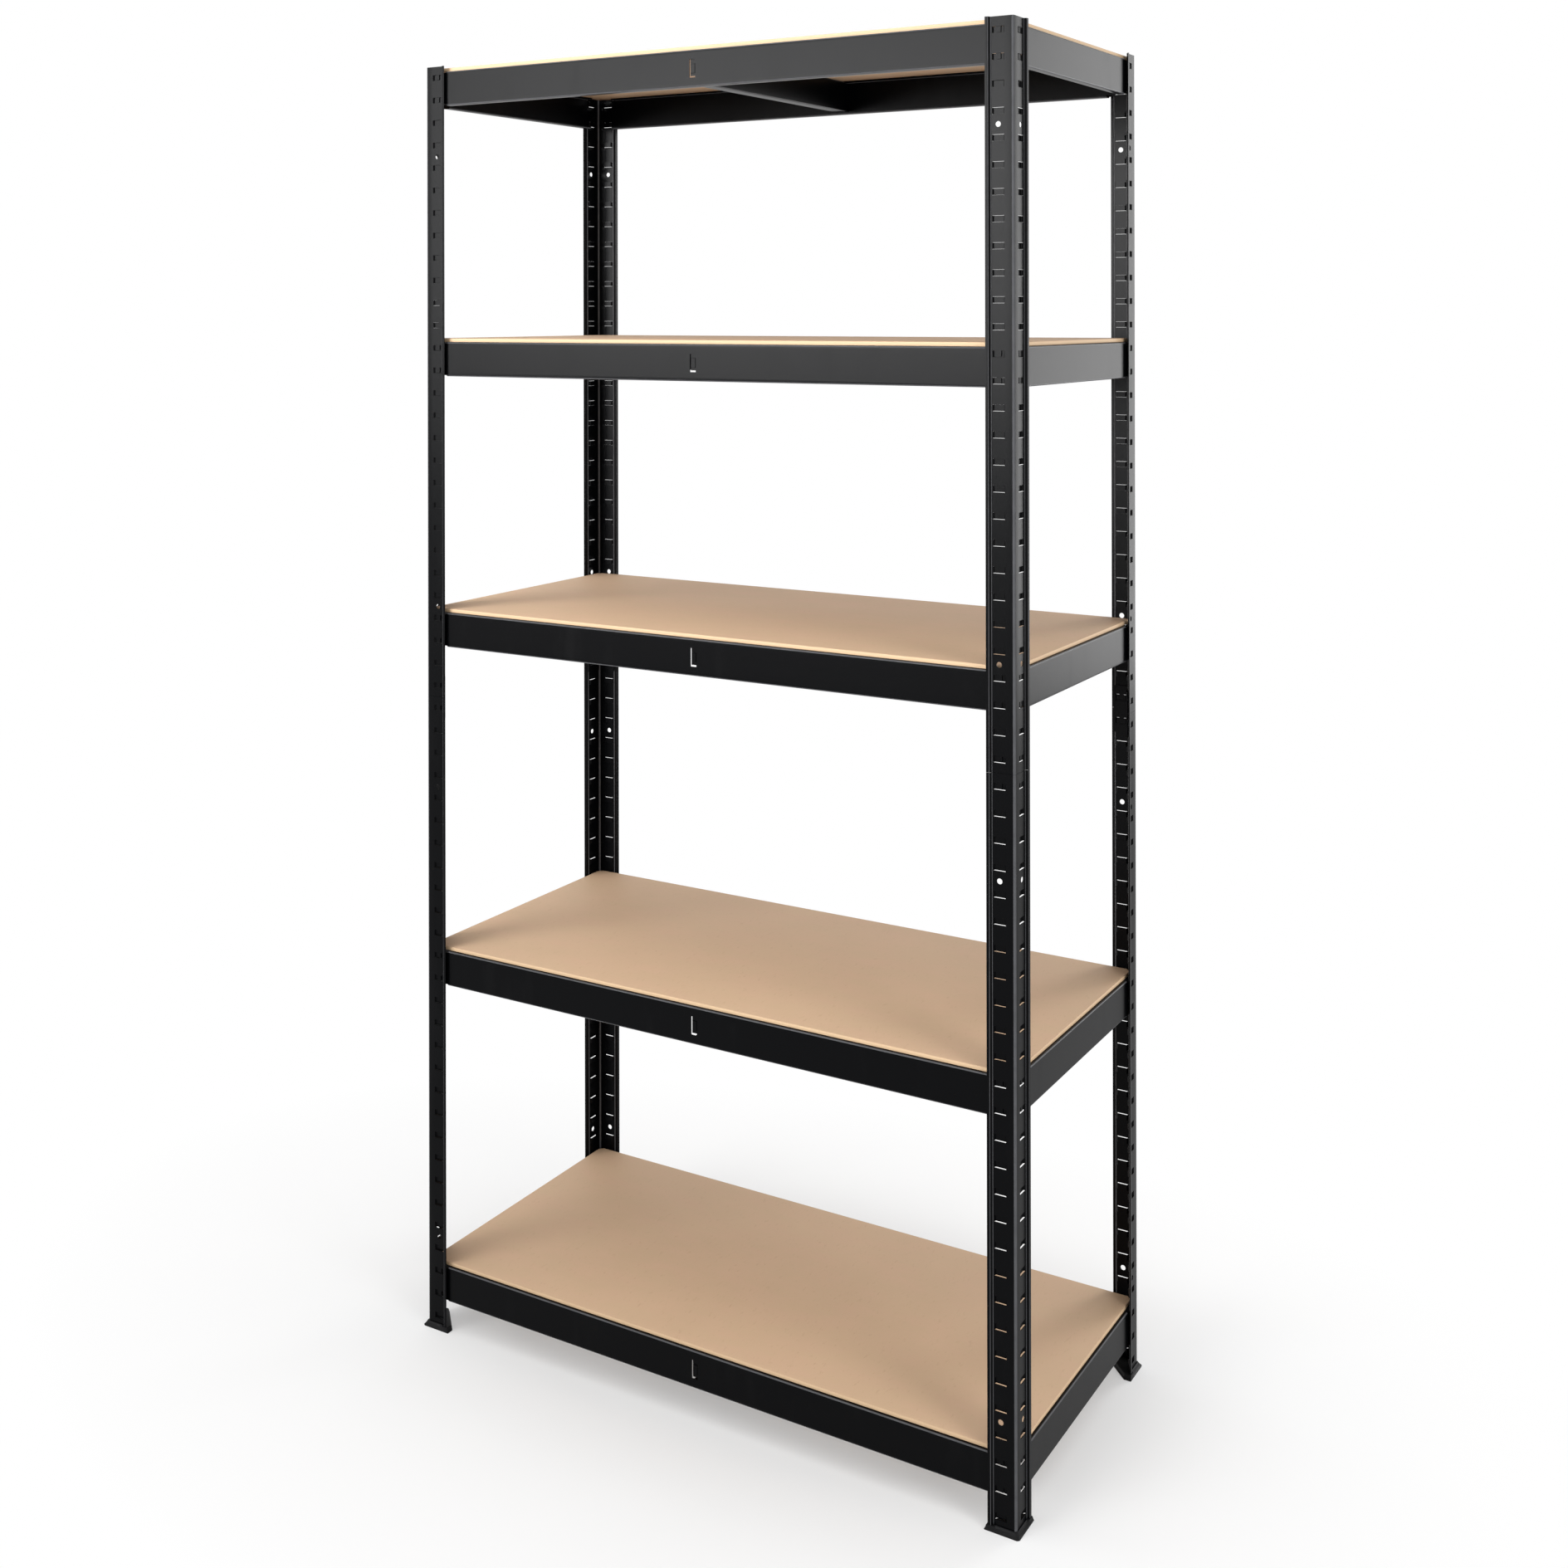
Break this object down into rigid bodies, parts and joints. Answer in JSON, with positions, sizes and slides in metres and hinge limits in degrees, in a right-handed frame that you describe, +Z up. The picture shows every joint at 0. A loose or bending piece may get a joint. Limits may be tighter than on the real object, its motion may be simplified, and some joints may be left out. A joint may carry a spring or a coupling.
{
  "type": "boltless shelving unit",
  "caption": "Free-standing boltless shelving: tongued steel corner posts, hooked beams with centre support bars, loose fibreboard shelves and plastic foot caps.",
  "frame": {"origin": "on the floor under the middle of the unit", "axes": "+X along the width to the right seen from the front, +Y to the back, +Z up"},
  "size_m": [0.9104, 0.4204, 1.78],
  "materials": {
    "steel": "satin black powder coat",
    "board": "raw fibreboard, smooth face and sawn edges",
    "foot_plastic": "moulded black plastic"
  },
  "bodies": {
    "uprights": {"post_lower_front_left": "steel", "post_upper_front_left": "steel", "splice_connector_front_left": "steel", "foot_cap_front_left": "foot_plastic", "post_lower_front_right": "steel", "post_upper_front_right": "steel", "splice_connector_front_right": "steel", "foot_cap_front_right": "foot_plastic", "post_lower_back_left": "steel", "post_upper_back_left": "steel", "splice_connector_back_left": "steel", "foot_cap_back_left": "foot_plastic", "post_lower_back_right": "steel", "post_upper_back_right": "steel", "splice_connector_back_right": "steel", "foot_cap_back_right": "foot_plastic"},
    "tier_1": {"beam_1_front": "steel", "beam_1_back": "steel", "beam_1_left": "steel", "beam_1_right": "steel", "centre_bar_1": "steel"},
    "board_1": {"board_1": "board"},
    "tier_2": {"beam_2_front": "steel", "beam_2_back": "steel", "beam_2_left": "steel", "beam_2_right": "steel", "centre_bar_2": "steel"},
    "board_2": {"board_2": "board"},
    "tier_3": {"beam_3_front": "steel", "beam_3_back": "steel", "beam_3_left": "steel", "beam_3_right": "steel", "centre_bar_3": "steel"},
    "board_3": {"board_3": "board"},
    "tier_4": {"beam_4_front": "steel", "beam_4_back": "steel", "beam_4_left": "steel", "beam_4_right": "steel", "centre_bar_4": "steel"},
    "board_4": {"board_4": "board"},
    "tier_5": {"beam_5_front": "steel", "beam_5_back": "steel", "beam_5_left": "steel", "beam_5_right": "steel", "centre_bar_5": "steel"},
    "board_5": {"board_5": "board"}
  },
  "joints": [
    {"name": "tier_1_unhook", "type": "slide", "parent": "uprights", "child": "tier_1", "axis": [0, 0, 1], "range_m": [0, 0.0085]},
    {"name": "board_1_lift", "type": "slide", "parent": "tier_1", "child": "board_1", "axis": [0, 0, 1], "range_m": [0, 0.25]},
    {"name": "tier_2_unhook", "type": "slide", "parent": "uprights", "child": "tier_2", "axis": [0, 0, 1], "range_m": [0, 0.0085]},
    {"name": "board_2_lift", "type": "slide", "parent": "tier_2", "child": "board_2", "axis": [0, 0, 1], "range_m": [0, 0.25]},
    {"name": "tier_3_unhook", "type": "slide", "parent": "uprights", "child": "tier_3", "axis": [0, 0, 1], "range_m": [0, 0.0085]},
    {"name": "board_3_lift", "type": "slide", "parent": "tier_3", "child": "board_3", "axis": [0, 0, 1], "range_m": [0, 0.25]},
    {"name": "tier_4_unhook", "type": "slide", "parent": "uprights", "child": "tier_4", "axis": [0, 0, 1], "range_m": [0, 0.0085]},
    {"name": "board_4_lift", "type": "slide", "parent": "tier_4", "child": "board_4", "axis": [0, 0, 1], "range_m": [0, 0.25]},
    {"name": "tier_5_unhook", "type": "slide", "parent": "uprights", "child": "tier_5", "axis": [0, 0, 1], "range_m": [0, 0.0085]},
    {"name": "board_5_lift", "type": "slide", "parent": "tier_5", "child": "board_5", "axis": [0, 0, 1], "range_m": [0, 0.25]}
  ]
}
